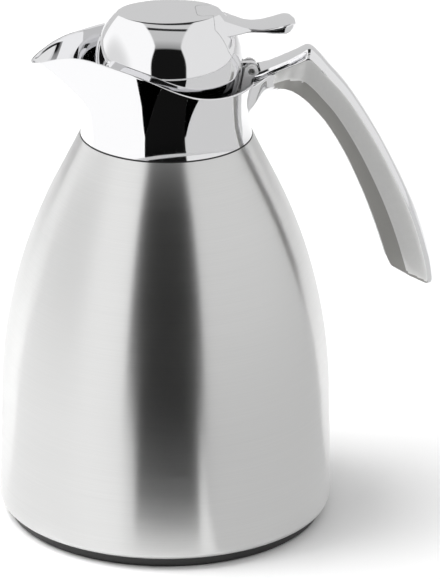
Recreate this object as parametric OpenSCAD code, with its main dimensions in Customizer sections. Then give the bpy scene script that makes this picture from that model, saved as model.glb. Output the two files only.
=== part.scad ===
// Thermal carafe with a flip lid, in millimetres.
// The origin is on the flask axis, at the surface that the carafe stands on.
// +Z is up, the handle points to +X and the spout to -X.

/* [Body] */
// Outer radius of the steel body at its widest
body_r = 75; // [72:1:90]
// Height of the steel body's top edge above the table
body_top = 179.4; // [170:1:215]
// Radius of the steel body's top edge
neck_r = 38.5; // [36:0.5:42]
// Depth of the shoulder's start below the body's top edge
shoulder_drop = 121.4; // [100:1:135]
// How far the wall leans in below the shoulder
body_taper = 1.1; // [0.5:0.1:3]
// Angle of the straight cone under the collar, from the vertical
cone_angle = 26.5; // [24:0.5:30]
// Thickness of the steel shell
shell_t = 0.8; // [0.5:0.1:1.2]
// Rounding of the steel body's lower edge
corner_r = 3; // [2:0.5:5]

/* [Base] */
// Height of the black foot under the steel body
foot_h = 5; // [3:0.5:8]
// How far the foot stands in from the widest body radius
foot_inset = 4; // [3:0.5:8]
// Wall of the screw-in base cap
cap_wall = 3; // [2:0.5:4]
// Height of the cap's floor above the table
cap_floor_z = 14; // [12:1:18]
// Thickness of the rubber foot pad
pad_t = 1.6; // [1:0.1:2.5]

/* [Flask] */
// Outer radius of the glass flask
flask_r = 61; // [55:1:64]
// Inner radius of the flask's mouth
mouth_r = 24; // [20:0.5:25]
// Thickness of each glass wall
glass_t = 1.5; // [1:0.1:2]
// Vacuum gap between the walls at the flask's belly
vacuum_gap = 4; // [3:0.5:5]
// Vacuum gap between the walls at the flask's neck
neck_gap = 2.5; // [2:0.1:3]
// Height of the cushion between the base cap and the flask
cushion_h = 7; // [4:0.5:12]
// Thickness of the silicone gasket on the flask's lip
gasket_t = 3; // [2:0.5:4]

/* [Collar] */
// Height of the collar's low rear rim above its lower edge
rim_low = 26; // [24:0.5:30]
// Extra height of the rim beside the spout
rim_rise = 15.5; // [10:0.5:20]
// How far the rim dips again at the spout's tip
tip_dip = 6.9; // [3:0.1:9]
// How far the collar's lower edge stands in from the steel body's edge
collar_inset = 0.3; // [0.1:0.1:1]
// How far the collar's waist stands in from its lower edge
waist_inset = 1.2; // [0.5:0.1:3]
// Radius of the collar's rim away from the spout
rim_r = 39.8; // [38:0.1:44]
// Reach of the spout beyond the rim radius
spout_reach = 20; // [14:0.5:28]
// Angle from the spout's middle at which it has mostly faded into the rim
spout_angle = 18.5; // [15:0.5:24]
// Wall thickness at the rim
rim_t = 1.2; // [1:0.1:2]
// Thickness of the black sealing ring under the collar
seam_t = 0.6; // [0.4:0.1:1]

/* [Handle] */
// Reach of the handle's lower end from the flask axis
handle_reach = 121; // [112:1:140]
// Drop of the handle's lower end below the collar's lower edge
handle_drop = 76; // [60:1:95]
// Half width of the handle along its grip
handle_w = 8.6; // [7:0.1:11]
// Half width of the handle where it flares into the collar
root_w = 14; // [11:0.5:16]
// Depth of the grip strip's groove, as a part of the handle's depth
strip_depth = 0.1; // [0.06:0.01:0.14]

/* [Lid] */
// Free gap between the ball lid and the collar's rim
ball_gap = 5.8; // [5:0.1:8]
// Height of the ball's centre above the collar's lower edge
ball_h = 32.7; // [31:0.1:34]
// Offset of the ball's centre towards the handle
ball_x = 1; // [0:0.1:1.5]
// Height of the flat top above the ball's centre
flat_h = 23.7; // [22:0.1:26]
// Half width of the flat top
flat_w = 16; // [14:0.5:20]
// Wall thickness of the ball
ball_t = 2; // [1.5:0.1:3]
// Depth of the ball's lower edge below its centre
ball_cut = 13.7; // [12:0.1:15]

/* [Lever] */
// Reach of the thumb lever's end from the flask axis
lever_reach = 56.7; // [52:0.1:58]
// Half width of the lever's head and neck
lever_w = 7.2; // [6:0.1:9]
// Half width of the lever's thumb tab
tab_w = 9; // [8:0.1:11]
// Thickness of the thumb tab
tab_t = 4.4; // [3:0.1:5]

/* [Hinge] */
// Distance of the hinge pin behind the ball
pin_gap = 3.4; // [3.2:0.1:4]
// Height of the hinge pin above the collar's lower edge
pin_h = 29; // [28.5:0.1:30]
// Radius of the hinge pin
pin_r = 1.5; // [1:0.1:2]
// Radial running clearance of the pin in the lid's knuckle
pin_clear = 0.05; // [0.02:0.01:0.1]
// Outer radius of the lid's knuckle
knuckle_r = 3.6; // [3:0.1:4]
// Outer radius of the bracket's ears
ear_r = 3.1; // [2.6:0.1:3.4]
// Half of the distance between the bracket's ears
ear_y = 3.5; // [3.4:0.1:5]
// Thickness of each ear
ear_t = 1.8; // [1.4:0.1:3]

/* [Stopper] */
// Radius of the stopper's seal plate
seal_r = 27.5; // [26:0.5:29]
// Thickness of the silicone seal
seal_t = 3; // [2:0.5:4]
// Radius of the stopper's stem
stem_r = 3; // [2.5:0.1:4]
// Travel that the stopper can be pushed up into the lid
float_travel = 1.5; // [1:0.5:2.5]

/* [Hidden] */
$fn = 96;
e = 0.01;
slip = 0.1;
gap = 0.3;

// Body and base
shoulder_z = body_top - shoulder_drop;
taper_angle = atan(body_taper / (shoulder_z - foot_h - corner_r));
belly_r = body_r - body_taper;
turn_r = (neck_r - belly_r + (body_top - shoulder_z) * tan(cone_angle))
    / ((sin(cone_angle) - sin(taper_angle)) * tan(cone_angle) - cos(taper_angle) + cos(cone_angle));
foot_r = body_r - foot_inset;
hem_r = foot_r - 2.5;
cap_r = hem_r - 0.7;
socket_top = cap_floor_z + cap_wall - 1;
pad_seat = 1.3; // how far the foot pad reaches under the cap's wall
cushion_w = 16;

// Collar, measured up from its lower edge
collar_z = body_top + seam_t;
collar_r = neck_r - collar_inset;
waist_r = collar_r - waist_inset;
tip_spread = 12.5;
rim_mid_angle = 86;
rim_slope = 13;
waist_v = 0.35;
insert_r = collar_r - 4.5;
floor_z = collar_z + 1;
insert_low = collar_z - 4;
lip_z = insert_low - gasket_t;
skirt_low = collar_z - 12;
skirt_t = 2;
flange_r = neck_r - shell_t - 0.5;
flange_t = 2.5;
seat_step = 1.5;
nut_top = collar_z - 4.5;
nut_low = skirt_low + 0.8;

// Flask
flask_z = cap_floor_z + cap_wall + cushion_h;
flask_corner = 15;
flask_shoulder_z = 0.59 * body_top;
flask_neck_z = lip_z - 13;
neck_out_r = mouth_r + 2 * glass_t + neck_gap;
inner_in_r = flask_r - 2 * glass_t - vacuum_gap;
tip_r = 5;
tip_h = 6;
tip_bore = 1.5;
tip_seal = 3; // length of the melted end of the tip
spacer_r = 4;

// Lid; side_h is the height at which the ball's narrowing sides would meet.
ball_r = rim_r - rim_t - ball_gap;
ball_z = collar_z + ball_h;
flat_z = ball_z + flat_h;
side_h = flat_h / sqrt(1 - pow(flat_w / ball_r, 2));
ball_sides = 64;
ball_rings = 14;
rear_x = ball_r - 12.8;
head_x = ball_r - 19.8;
head_depth = 3.2;
saddle_low = -7.5;
saddle_top = 40;
saddle_w = [[0, saddle_top], [12, saddle_top], [14, flat_h], [17.5, 14], [18.5, 9],
    [8.2, saddle_low], [0, saddle_low]];
base_z = ball_z - ball_cut;
base_t = 5;
base_r = sqrt(pow(ball_r - ball_t, 2) - pow(ball_cut, 2)) - gap;
hub_r = 6;
post_r = 3.2;
post_drop = 3.2; // from the head's recess down to the front post
post_rise = 13;
stem_clear = 0.05;
pin_x = ball_x + ball_r + pin_gap;
pin_z = collar_z + pin_h;

// Screws of the lid and the hinge bracket
screw_r = 1.5;
head_r = 2.4;
head_h = 2;
low_head_h = 1;
screw_xs = [head_x + 3.5, ball_x + base_r - post_r - 1];
screw_hs = [11.2, 16.4];
screw_l = 4.9;
screw_top = flat_z - 3;
thread_l = 9;
relief = 0.5; // room round the knuckle in the handle's root
plate_l = 6;

// Stopper
plate_z = floor_z + seal_t;
plate_t = 2.6;
hub_h = base_z - base_t - plate_z - plate_t - float_travel - gap;
spring_r = 9.5;
spring_wire = 0.6;
spring_turns = 2.5;
clip_z = base_z + gap;
clip_t = 0.8;
clip_slot = 3.2;
seal_step = 1.2;

// Hinge spring
coil_r = 2.55;
coil_wire = 0.42;
coil_turns = 2;
coil_y = 0.7;
leg_drop = 10.6;
knuckle_y = [-3.2, -0.1];

// Length of a cut that passes right through what it cuts.
through = 60;

function mix(a, b, t) = a + (b - a) * t;
function smooth(t) = let (c = max(0, min(1, t))) c * c * (3 - 2 * c);
function arc(centre, r, a0, a1, n) =
    [for (i = [0:n]) let (a = mix(a0, a1, i / n)) centre + r * [cos(a), sin(a)]];

// The body's side from the lower edge to the neck, moved inwards by t.
function body_side(t) = let (
        shoulder = [belly_r - turn_r * cos(taper_angle), shoulder_z - turn_r * sin(taper_angle)])
    concat(
        arc([body_r - corner_r, foot_h + corner_r], corner_r - t, -90, taper_angle, 8),
        arc(shoulder, turn_r - t, taper_angle, cone_angle, 28),
        [[neck_r - t / cos(cone_angle), body_top]]);

module outer_shell() {
    color("silver")
        rotate_extrude()
            polygon(concat(
                [[hem_r, foot_h]],
                body_side(0),
                [for (i = [len(body_side(0)) - 1:-1:0]) body_side(shell_t)[i]],
                [[hem_r, foot_h + shell_t]]));
}

// Threaded ring that stands on the shell's hem and takes the base cap.
module base_socket() {
    out_r = body_r - shell_t - body_taper * 0.3 - gap;
    color("dimgray")
        rotate_extrude()
            polygon([
                [cap_r + slip, foot_h + shell_t],
                [body_r - corner_r - 0.5, foot_h + shell_t],
                [out_r, foot_h + shell_t + corner_r],
                [out_r, socket_top],
                [cap_r + slip, socket_top]]);
}

module base_cap() {
    color("black")
        rotate_extrude()
            difference() {
                polygon([
                    [0, cap_floor_z],
                    [cap_r - cap_wall, cap_floor_z],
                    [cap_r - cap_wall, pad_t / 2],
                    [foot_r, pad_t / 2],
                    [foot_r, foot_h],
                    [cap_r, foot_h],
                    [cap_r, cap_floor_z + cap_wall],
                    [0, cap_floor_z + cap_wall]]);
                translate([cap_r - pad_seat, 0])
                    square([foot_r - cap_r, pad_t]);
            }
}

module foot_pad() {
    color("black")
        rotate_extrude()
            translate([cap_r - pad_seat + slip, 0])
                square([foot_r - cap_r - 2 * slip, pad_t]);
}

module base_cushion() {
    cushion_out = flask_r - flask_corner - 1;
    groove_w = 4;
    groove_in = 10;
    web = 3;
    color("dimgray")
        rotate_extrude()
            difference() {
                translate([cushion_out - cushion_w, flask_z - cushion_h])
                    square([cushion_w, cushion_h]);
                translate([cushion_out - groove_in, flask_z - cushion_h - e])
                    square([groove_w, cushion_h - web]);
            }
}

// Half outline of the flask: r_belly and r_neck are its radii, low is its lowest point.
function flask_side(r_belly, r_neck, low, corner, top) = concat(
    [[0, low]],
    arc([r_belly - corner, low + corner], corner, -90, 0, 8),
    [for (i = [0:20]) let (t = i / 20)
        [mix(r_belly, r_neck, (1 - cos(180 * t)) / 2), mix(flask_shoulder_z, flask_neck_z, t)]],
    [[r_neck, top], [0, top]]);

module flask_outer_wall() {
    color("lightblue", 0.5)
        rotate_extrude() {
            difference() {
                polygon(flask_side(flask_r, neck_out_r, flask_z, flask_corner, lip_z));
                polygon(flask_side(flask_r - glass_t, neck_out_r - glass_t, flask_z + glass_t,
                    flask_corner - glass_t, lip_z - glass_t));
                square([mouth_r + glass_t, lip_z + 1]);
            }
            difference() {
                polygon([
                    [0, flask_z - tip_h],
                    [tip_bore, flask_z - tip_h],
                    [tip_r, flask_z],
                    [mouth_r + glass_t + e, flask_z],
                    [mouth_r + glass_t + e, flask_z + glass_t],
                    [0, flask_z + glass_t]]);
                polygon([
                    [-1, flask_z - tip_h + tip_seal],
                    [tip_bore, flask_z + 1],
                    [tip_bore, flask_z + 2 * glass_t],
                    [-1, flask_z + 2 * glass_t]]);
            }
        }
}

module flask_inner_wall() {
    low = flask_z + glass_t + vacuum_gap;
    color("lightblue", 0.5)
        rotate_extrude()
            difference() {
                polygon(flask_side(inner_in_r + glass_t, mouth_r + glass_t, low,
                    flask_corner - glass_t, lip_z));
                polygon(flask_side(inner_in_r, mouth_r, low + glass_t,
                    flask_corner - 2 * glass_t, lip_z + 1));
            }
}

// Pads that keep the two glass walls apart.
module flask_spacers() {
    in_x = inner_in_r + glass_t + 0.05;
    color("white")
        for (a = [0:120:240])
            rotate([0, 90, a])
                translate([-0.36 * body_top, 0, in_x])
                    cylinder(r = spacer_r, h = vacuum_gap - 0.3, $fn = 32);
}

module neck_gasket() {
    color("white")
        rotate_extrude()
            translate([mouth_r, lip_z])
                square([neck_out_r - mouth_r + 0.5, gasket_t]);
}

// Plastic neck that the collar is bonded to; its floor is the stopper's seat.
module neck_insert() {
    color("dimgray")
        rotate_extrude()
            polygon([
                [mouth_r, insert_low],
                [mouth_r, floor_z],
                [seal_r + seat_step, floor_z],
                [insert_r, floor_z + seat_step],
                [insert_r, collar_z],
                [flange_r, collar_z],
                [flange_r, collar_z - flange_t],
                [insert_r, collar_z - flange_t],
                [insert_r, skirt_low],
                [insert_r - skirt_t, skirt_low],
                [insert_r - skirt_t, insert_low]]);
}

// Nut on the neck's skirt that pulls the collar down on the shell.
module clamp_ring() {
    reach = neck_r - shell_t / cos(cone_angle) - gap;
    color("dimgray")
        rotate_extrude()
            polygon([
                [insert_r + slip, nut_low],
                [reach + (body_top - nut_low) * tan(cone_angle), nut_low],
                [reach + (body_top - nut_top) * tan(cone_angle), nut_top],
                [insert_r + slip, nut_top]]);
}

module seam_ring() {
    color("black")
        rotate_extrude()
            translate([flange_r + slip, body_top])
                square([neck_r - flange_r - 2.5 * slip, seam_t]);
}

// Collar: v runs from 0 at its lower edge to 1 at the rim, a is the angle from the spout.
collar_n = 72;
collar_rings = 11;

function rim_z(a) = collar_z + rim_low + rim_rise / (1 + exp((a - rim_mid_angle) / rim_slope))
    - tip_dip * exp(-pow(a / tip_spread, 2));
function wall_r(v) = v < waist_v
    ? waist_r + (collar_r - waist_r) * pow((waist_v - v) / waist_v, 2)
    : waist_r + (rim_r - waist_r) * pow((v - waist_v) / (1 - waist_v), 2);
function collar_out(a, v) = wall_r(v) + spout_reach * exp(-pow(a / spout_angle, 1.7)) * v * v;
function collar_wall(v) = mix(rim_t, collar_r - insert_r - 0.3, pow(1 - v, 2));
function collar_ring(v, inwards) = [for (i = [0:collar_n - 1]) let (
        turn = 360 * i / collar_n,
        a = turn > 180 ? 360 - turn : turn,
        r = collar_out(a, v) - inwards * collar_wall(v))
    [-r * cos(turn), -r * sin(turn), mix(collar_z, rim_z(a), v) - inwards * 0.15 * v]];

// A solid of n-sided rings; a closed one joins its last ring to its first.
module ring_solid(rings, closed) {
    n = len(rings[0]);
    m = len(rings);
    last = closed ? m - 1 : m - 2;
    sides = [for (j = [0:last], i = [0:n - 1]) let (k = (i + 1) % n, up = (j + 1) % m)
        each [[j * n + i, j * n + k, up * n + k], [j * n + i, up * n + k, up * n + i]]];
    caps = closed ? [] : [[for (i = [n - 1:-1:0]) i], [for (i = [0:n - 1]) (m - 1) * n + i]];
    polyhedron(points = [for (ring = rings) each ring], faces = concat(sides, caps), convexity = 6);
}

module collar_shell() {
    ring_solid(concat(
        [for (j = [0:collar_rings]) collar_ring(j / collar_rings, 1)],
        [for (j = [collar_rings:-1:0]) collar_ring(j / collar_rings, 0)]), true);
}

// Handle: pairs of outer and inner edge points in the XZ plane, from the collar to the free end,
// as distances from the axis and heights above the collar's lower edge, with a half width.
handle_spine = [
    [[32, 28.4], [31, 1], root_w + 1],
    [[39.6, 29.3], [36.8, 7.6], root_w - 0.6],
    [[46, 31], [42.6, 16.6], 9.6],
    [[53.5, 34], [49.8, 19.6], 9.2],
    [[58.5, 36.4], [54.4, 18.8], 9.2],
    [[63.4, 38.6], [58, 16.8], 9.1],
    [[67.6, 35.6], [61.6, 13.8], 9.2],
    [[73, 29.2], [65.4, 9.8], 9],
    [[82.3, 17.7], [71.6, 2], handle_w + 0.2],
    [[94, -1.3], [79.8, -12.2], handle_w],
    [[104.7, -22.1], [88, -30.4], handle_w - 0.2],
    [[112.9, -41.2], [94, -46.6], handle_w - 0.4],
    [[118.8, -61.3], [98.6, -60.6], handle_w - 0.6],
    [[121, -76], [101.2, -66.6], handle_w - 1.4]];
handle_steps = 2;
strip_from = 5.5;
strip_to = 12.4;
strip_half = 0.36;

// The points above are for these sizes; the root follows the rim, the grip follows reach and drop.
spine_rim = 39.8;
spine_bend = 60;
spine_reach = 121;
spine_drop = 76;
function grown(p) = [
    p[0] < spine_bend
        ? p[0] + (rim_r - spine_rim) * (spine_bend - p[0]) / (spine_bend - spine_rim)
        : spine_bend + (p[0] - spine_bend) * (handle_reach - spine_bend) / (spine_reach - spine_bend),
    p[1] > 0 ? p[1] : p[1] * handle_drop / spine_drop];
function cubic(p0, p1, p2, p3, t) = 0.5 * (2 * p1 + (p2 - p0) * t
    + (2 * p0 - 5 * p1 + 4 * p2 - p3) * t * t + (3 * p1 - p0 - 3 * p2 + p3) * t * t * t);
function spine_at(u, k) = let (
        top = len(handle_spine) - 1,
        i = min(floor(u), top - 1),
        q = [for (d = [-1:2]) let (s = handle_spine[max(0, min(top, i + d))]) k < 2 ? grown(s[k]) : s[k]])
    cubic(q[0], q[1], q[2], q[3], u - i);
function groove(u) = strip_depth * min(1, max(0.02, min(u - strip_from, strip_to - u) * 4));
function handle_outline(u) = let (g = groove(u)) [
    [0, 0], [0.5, 0.025], [0.85, 0.09], [1, 0.16], [0.97, 0.4], [0.92, 0.6], [0.66, 0.85], [0.42, 0.985],
    [strip_half, 0.99], [strip_half, 0.99 - g], [0, 0.99 - g],
    [-strip_half, 0.99 - g], [-strip_half, 0.99], [-0.42, 0.985], [-0.66, 0.85], [-0.92, 0.6], [-0.97, 0.4],
    [-1, 0.16], [-0.85, 0.09], [-0.5, 0.025]];
function handle_place(u, f) = let (
        p = spine_at(u, 0),
        q = spine_at(u, 1),
        m = p + (q - p) * f[1])
    [m[0], f[0] * spine_at(u, 2), m[1] + collar_z];
handle_last = len(handle_spine) - 1;

// The handle's root runs into the collar's wall, ends inside it and stands a little above its rim.
root_depth = 0.4;
root_step = 1.5;
module handle_body() {
    difference() {
        ring_solid([for (u = [0:1 / handle_steps:handle_last])
            [for (f = handle_outline(u)) handle_place(u, f)]], false);
        ring_solid(concat(
            [[for (p = collar_ring(1, root_depth)) [p[0], p[1], collar_z + 2 * rim_low]]],
            [[for (p = collar_ring(1, root_depth)) [p[0], p[1], p[2] + root_step]]],
            [for (j = [collar_rings - 1:-1:0]) collar_ring(j / collar_rings, root_depth)]), false);
    }
}

module grip_strip() {
    side = strip_half - 0.02;
    low = 0.99 - strip_depth + 0.01;
    color("gray")
        ring_solid([for (u = [strip_from + 0.5:1 / handle_steps:strip_to - 0.4]) [
            for (f = [[side, low], [side, 1], [0, 1.02], [-side, 1], [-side, low]])
                handle_place(u, f)]], false);
}

module collar() {
    color("silver")
        difference() {
            union() {
                collar_shell();
                handle_body();
            }
            knuckle_relief();
            bracket_screw_holes();
        }
}

// Room for the lid's knuckle in the top of the handle's root.
module knuckle_relief() {
    translate([pin_x, 0, pin_z])
        rotate([90, 0, 0])
            cylinder(r = knuckle_r + relief, h = 2 * (ear_y + ear_t + gap), center = true);
}

// Hinge bracket: a plate on the collar's rear wall with two ears.
plate_front = insert_r - 1.5;
bracket_low = collar_z + 8;
bracket_high = collar_z + 19.6;

module ear_outline() {
    hull() {
        translate([pin_x, pin_z])
            circle(r = ear_r, $fn = 32);
        translate([plate_front, bracket_high - 2 * ear_t])
            square([ear_t, 2 * ear_t]);
    }
}

// What the bracket may fill: the inside of the rear wall and the room round the pin.
module bracket_room() {
    top_r = rim_r - rim_t - 2 * gap - slip;
    translate([0, 0, bracket_low])
        cylinder(r1 = insert_r + gap, r2 = top_r, h = collar_z + rim_low - bracket_low);
    translate([0, 0, collar_z + rim_low - e])
        cylinder(r = top_r, h = 2 * ear_r);
    translate([pin_x, 0, pin_z])
        rotate([90, 0, 0])
            cylinder(r = ear_r + slip, h = through, center = true);
}

module hinge_bracket() {
    color("gray")
        difference() {
            intersection() {
                union() {
                    for (side = [-1, 1])
                        translate([0, side * (ear_y + ear_t / 2) + ear_t / 2, 0])
                            rotate([90, 0, 0])
                                linear_extrude(ear_t)
                                    ear_outline();
                    translate([plate_front, -ear_y - ear_t, bracket_low])
                        cube([plate_l, 2 * (ear_y + ear_t), bracket_high - bracket_low]);
                }
                bracket_room();
            }
            translate([pin_x, 0, pin_z])
                rotate([90, 0, 0])
                    cylinder(r = pin_r, h = through, center = true);
            for (h = screw_hs)
                translate([plate_front - 1, 0, collar_z + h])
                    rotate([0, 90, 0])
                        cylinder(r = screw_r + slip, h = plate_l + 2);
            // Hole for the closing spring's lower leg.
            translate([pin_x - coil_r, coil_y, pin_z - leg_drop - gap])
                cylinder(r = coil_wire + slip, h = plate_l);
        }
}

module bracket_screw_holes() {
    for (h = screw_hs)
        translate([plate_front, 0, collar_z + h])
            rotate([0, 90, 0])
                cylinder(r = screw_r, h = screw_l + gap);
}

module bracket_screws() {
    color("silver")
        for (h = screw_hs)
            translate([plate_front - low_head_h, 0, collar_z + h])
                rotate([0, 90, 0]) {
                    cylinder(r = screw_r, h = low_head_h + screw_l);
                    cylinder(r = head_r, h = low_head_h);
                }
}

module hinge_pin() {
    color("silver")
        translate([pin_x, 0, pin_z])
            rotate([90, 0, 0])
                cylinder(r = pin_r, h = 2 * (ear_y + ear_t), center = true);
}

// A round wire through the points of a path; side is a direction that it never runs along.
module wire(path, r, side, sides = 8) {
    m = len(path);
    ring_solid([for (i = [0:m - 1]) let (
            d = path[min(m - 1, i + 1)] - path[max(0, i - 1)],
            x = cross(d, side) / norm(cross(d, side)),
            y = cross(d, x) / norm(cross(d, x)))
        [for (k = [0:sides - 1]) let (a = 360 * k / sides)
            path[i] + r * (cos(a) * x + sin(a) * y)]], false);
}

// Torsion spring on the pin: one leg hooks behind the bracket's plate, the other pushes the lid shut.
module closing_spring() {
    steps = 16;
    pitch = 2 * coil_wire + 0.12;
    turn = 360 * coil_turns + 90;
    n = steps * turn / 360;
    coil = [for (i = [0:n]) let (a = 180 - turn * i / n)
        [coil_r * cos(a), coil_y + pitch * (turn * i / n) / 360, coil_r * sin(a)]];
    leg_down = [[-coil_r, coil_y, -leg_drop], [-coil_r, coil_y, -1]];
    leg_front = [[-0.8, coil[n][1], coil_r], [-5.2, coil[n][1], coil_r]];
    color("gray")
        translate([pin_x, 0, pin_z])
            wire(concat(leg_down, coil, leg_front), coil_wire, [0, 1, 0.02]);
}

// Section of the ball at height h, moved inwards by t: round below its centre, narrower across above it.
function ball_ring(h, t) = let (
        r = ball_r - t,
        long = sqrt(r * r - h * h),
        wide = h > 0 ? r * sqrt(1 - pow(h / (side_h - t), 2)) : long)
    [for (i = [0:ball_sides - 1]) let (a = 360 * i / ball_sides)
        [ball_x + long * cos(a), wide * sin(a), ball_z + h]];

module ball_form(t) {
    r = ball_r - t;
    low = asin(-(ball_cut + t) / r);
    high = asin((flat_h - t) / r);
    ring_solid([for (j = [ball_rings:-1:0])
        ball_ring(r * sin(mix(low, high, j / ball_rings)), t)], false);
}

// The part of the ball that belongs to the lever's saddle, grown by c.
module saddle_zone(c) {
    translate([rear_x - c, 0, ball_z])
        rotate([90, 0, 90])
            linear_extrude(ball_r)
                offset(delta = c)
                    polygon(concat(saddle_w,
                        [for (i = [len(saddle_w) - 2:-1:1]) [-saddle_w[i][0], saddle_w[i][1]]]));
    translate([head_x - c, -lever_w - c, flat_z - head_depth - c])
        cube([20, 2 * (lever_w + c), 10]);
}

module ball_dome() {
    color("silver")
        difference() {
            union() {
                difference() {
                    ball_form(0);
                    ball_form(ball_t);
                }
                intersection() {
                    ball_form(ball_t / 2);
                    translate([head_x - 3, -lever_w - 3, flat_z - head_depth - 3])
                        cube([rear_x - head_x + 3, 2 * lever_w + 6, head_depth + 2.5]);
                }
            }
            saddle_zone(slip);
            for (x = screw_xs)
                translate([x, 0, screw_top - thread_l])
                    cylinder(r = screw_r + slip, h = 1.5 * thread_l);
        }
}

// Lever: top heights above the ball's centre along its length, with half widths at the top
// and at the foot of the side fairing.
// The table is for a ball of the radius lever_ball; the head follows the ball, the tab follows the reach.
tab_top = 18.9;
lever_ball = 32.8;
lever_end = 56.7;
function lever_x(x) = let (t = (lever_end - x) / (lever_end - lever_ball))
    x + mix(lever_reach - lever_end, ball_r - lever_ball, min(1, t));
lever_spine = [
    [head_x, flat_h, lever_w, lever_w, flat_h - 3.1],
    [head_x + 5, flat_h, lever_w, lever_w + 0.6, flat_h - 4.2],
    [lever_x(20.5), flat_h - 0.5, lever_w, 12.5, 17],
    [lever_x(25), 21.2, lever_w, 14, 15.4],
    [lever_x(31), 18.8, lever_w - 0.2, 10.5, 14.9],
    [lever_x(35), 17.4, lever_w - 0.2, 8, 14.9],
    [lever_x(38.5), 16.9, lever_w, lever_w + 0.2, 14.7],
    [lever_x(42.6), 16.9, 8, 8, tab_top - tab_t + 0.1],
    [lever_x(48), 17.9, tab_w - 0.2, tab_w - 0.2, tab_top - tab_t - 0.2],
    [lever_x(52), tab_top, tab_w, tab_w, tab_top - tab_t],
    [lever_x(54.8), tab_top + 0.3, tab_w - 1.6, tab_w - 1.8, tab_top - tab_t + 0.9],
    [lever_reach, tab_top - 0.4, tab_w - 5, tab_w - 5, tab_top - 2]];

function lever_section(s) = let (z = ball_z, x = s[0]) [
    [x, -s[2] + 0.6, z + s[1]], [x, s[2] - 0.6, z + s[1]], [x, s[2], z + s[1] - 0.6],
    [x, s[3], z + s[4] + 1], [x, s[3] - 1, z + s[4]], [x, 0, z + s[4] - 0.8],
    [x, -s[3] + 1, z + s[4]], [x, -s[3], z + s[4] + 1], [x, -s[2], z + s[1] - 0.6]];

module thumb_lever() {
    arm_l = pin_gap + ball_t + 1;
    pocket = [7, 4.2, 2];
    color("silver")
        difference() {
            union() {
                difference() {
                    ring_solid([for (s = lever_spine) lever_section(s)], false);
                    difference() {
                        ball_form(-slip);
                        saddle_zone(0);
                    }
                }
                intersection() {
                    ball_form(0.2);
                    saddle_zone(0);
                    difference() {
                        translate([-through, -through, base_z])
                            cube([2 * through, 2 * through, through]);
                        ball_form(ball_t + 1);
                    }
                }
                // Arm from the saddle to the knuckle.
                translate([0, knuckle_y[1], 0])
                    rotate([90, 0, 0])
                        linear_extrude(knuckle_y[1] - knuckle_y[0])
                            union() {
                                translate([pin_x, pin_z])
                                    circle(r = knuckle_r);
                                translate([pin_x - arm_l, pin_z - knuckle_r + 0.4])
                                    square([arm_l, 2 * knuckle_r - 0.4]);
                            }
            }
            translate([pin_x, 0, pin_z])
                rotate([90, 0, 0])
                    cylinder(r = pin_r + pin_clear, h = through, center = true);
            // Pocket for the closing spring's upper leg.
            translate([pin_x - pocket[0] + 1, knuckle_y[1] + 0.2, pin_z + coil_r - pocket[2] / 2])
                cube(pocket);
            for (x = screw_xs)
                translate([x, 0, screw_top - thread_l])
                    cylinder(r = screw_r, h = thread_l + 2 * gap);
        }
}

module lid_base() {
    color("dimgray")
        difference() {
            union() {
                translate([ball_x, 0, base_z - base_t])
                    cylinder(r = base_r, h = base_t);
                translate([0, 0, base_z - base_t - hub_h])
                    cylinder(r = hub_r, h = hub_h);
                for (x = screw_xs)
                    translate([x, 0, base_z - e])
                        cylinder(r = post_r, h = post_top(x) - base_z);
            }
            translate([0, 0, base_z - through / 2])
                cylinder(r = stem_r + stem_clear, h = through);
            for (x = screw_xs) {
                translate([x, 0, base_z - through / 2])
                    cylinder(r = screw_r + slip, h = 1.5 * through);
                translate([x, 0, base_z - base_t - e])
                    cylinder(r = head_r + gap, h = head_h + gap + 2 * e);
            }
        }
}

// The posts end just under the ball's wall.
function post_top(x) = x < rear_x ? flat_z - head_depth - post_drop : ball_z + post_rise;

module lid_screws() {
    color("silver")
        for (x = screw_xs)
            translate([x, 0, base_z - base_t + gap]) {
                cylinder(r = head_r, h = head_h);
                cylinder(r = screw_r, h = screw_top - base_z + base_t - gap);
            }
}

module stopper_plate() {
    color("dimgray")
        difference() {
            union() {
                translate([0, 0, plate_z])
                    cylinder(r = seal_r, h = plate_t);
                translate([0, 0, plate_z])
                    cylinder(r = stem_r, h = clip_z + 2.5 - plate_z);
            }
            translate([0, 0, clip_z])
                rotate_extrude()
                    translate([stem_r - clip_t, 0])
                        square([2, 1]);
        }
}

module stopper_seal() {
    color("white")
        rotate_extrude()
            polygon([
                [0, floor_z + seal_step],
                [mouth_r - 3.5, floor_z + seal_step],
                [mouth_r - 2.5, floor_z],
                [seal_r + 0.6, floor_z],
                [seal_r + 0.6, plate_z],
                [0, plate_z]]);
}

module stopper_spring() {
    low = plate_z + plate_t + spring_wire + 0.1;
    high = base_z - base_t - spring_wire - 0.1;
    n = 16 * spring_turns;
    color("gray")
        wire([for (i = [0:n]) let (a = 360 * spring_turns * i / n)
            [spring_r * cos(a), spring_r * sin(a), mix(low, high, smooth(i / n))]], spring_wire, [0, 0, 1]);
}

module stem_clip() {
    color("gray")
        translate([0, 0, clip_z + slip])
            difference() {
                cylinder(r = stem_r + 2, h = clip_t);
                translate([0, 0, -1])
                    cylinder(r = stem_r - 0.7, h = 4);
                translate([0, -clip_slot / 2, -1])
                    cube([10, clip_slot, 4]);
            }
}

outer_shell();
base_socket();
base_cap();
foot_pad();
base_cushion();
flask_outer_wall();
flask_inner_wall();
flask_spacers();
neck_gasket();
neck_insert();
clamp_ring();
seam_ring();
collar();
grip_strip();
hinge_bracket();
bracket_screws();
hinge_pin();
closing_spring();
ball_dome();
thumb_lever();
lid_base();
lid_screws();
stopper_plate();
stopper_seal();
stopper_spring();
stem_clip();
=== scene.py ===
"""Looks of the thermal carafe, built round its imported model.

Lengths are millimetres and angles are degrees, unless a name ends in _M or a comment says
otherwise. The flask's axis is z, the spout points to -x and the handle to +x.
"""
import math

import bmesh
import bpy
import numpy as np
from mathutils import Matrix, Vector


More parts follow.
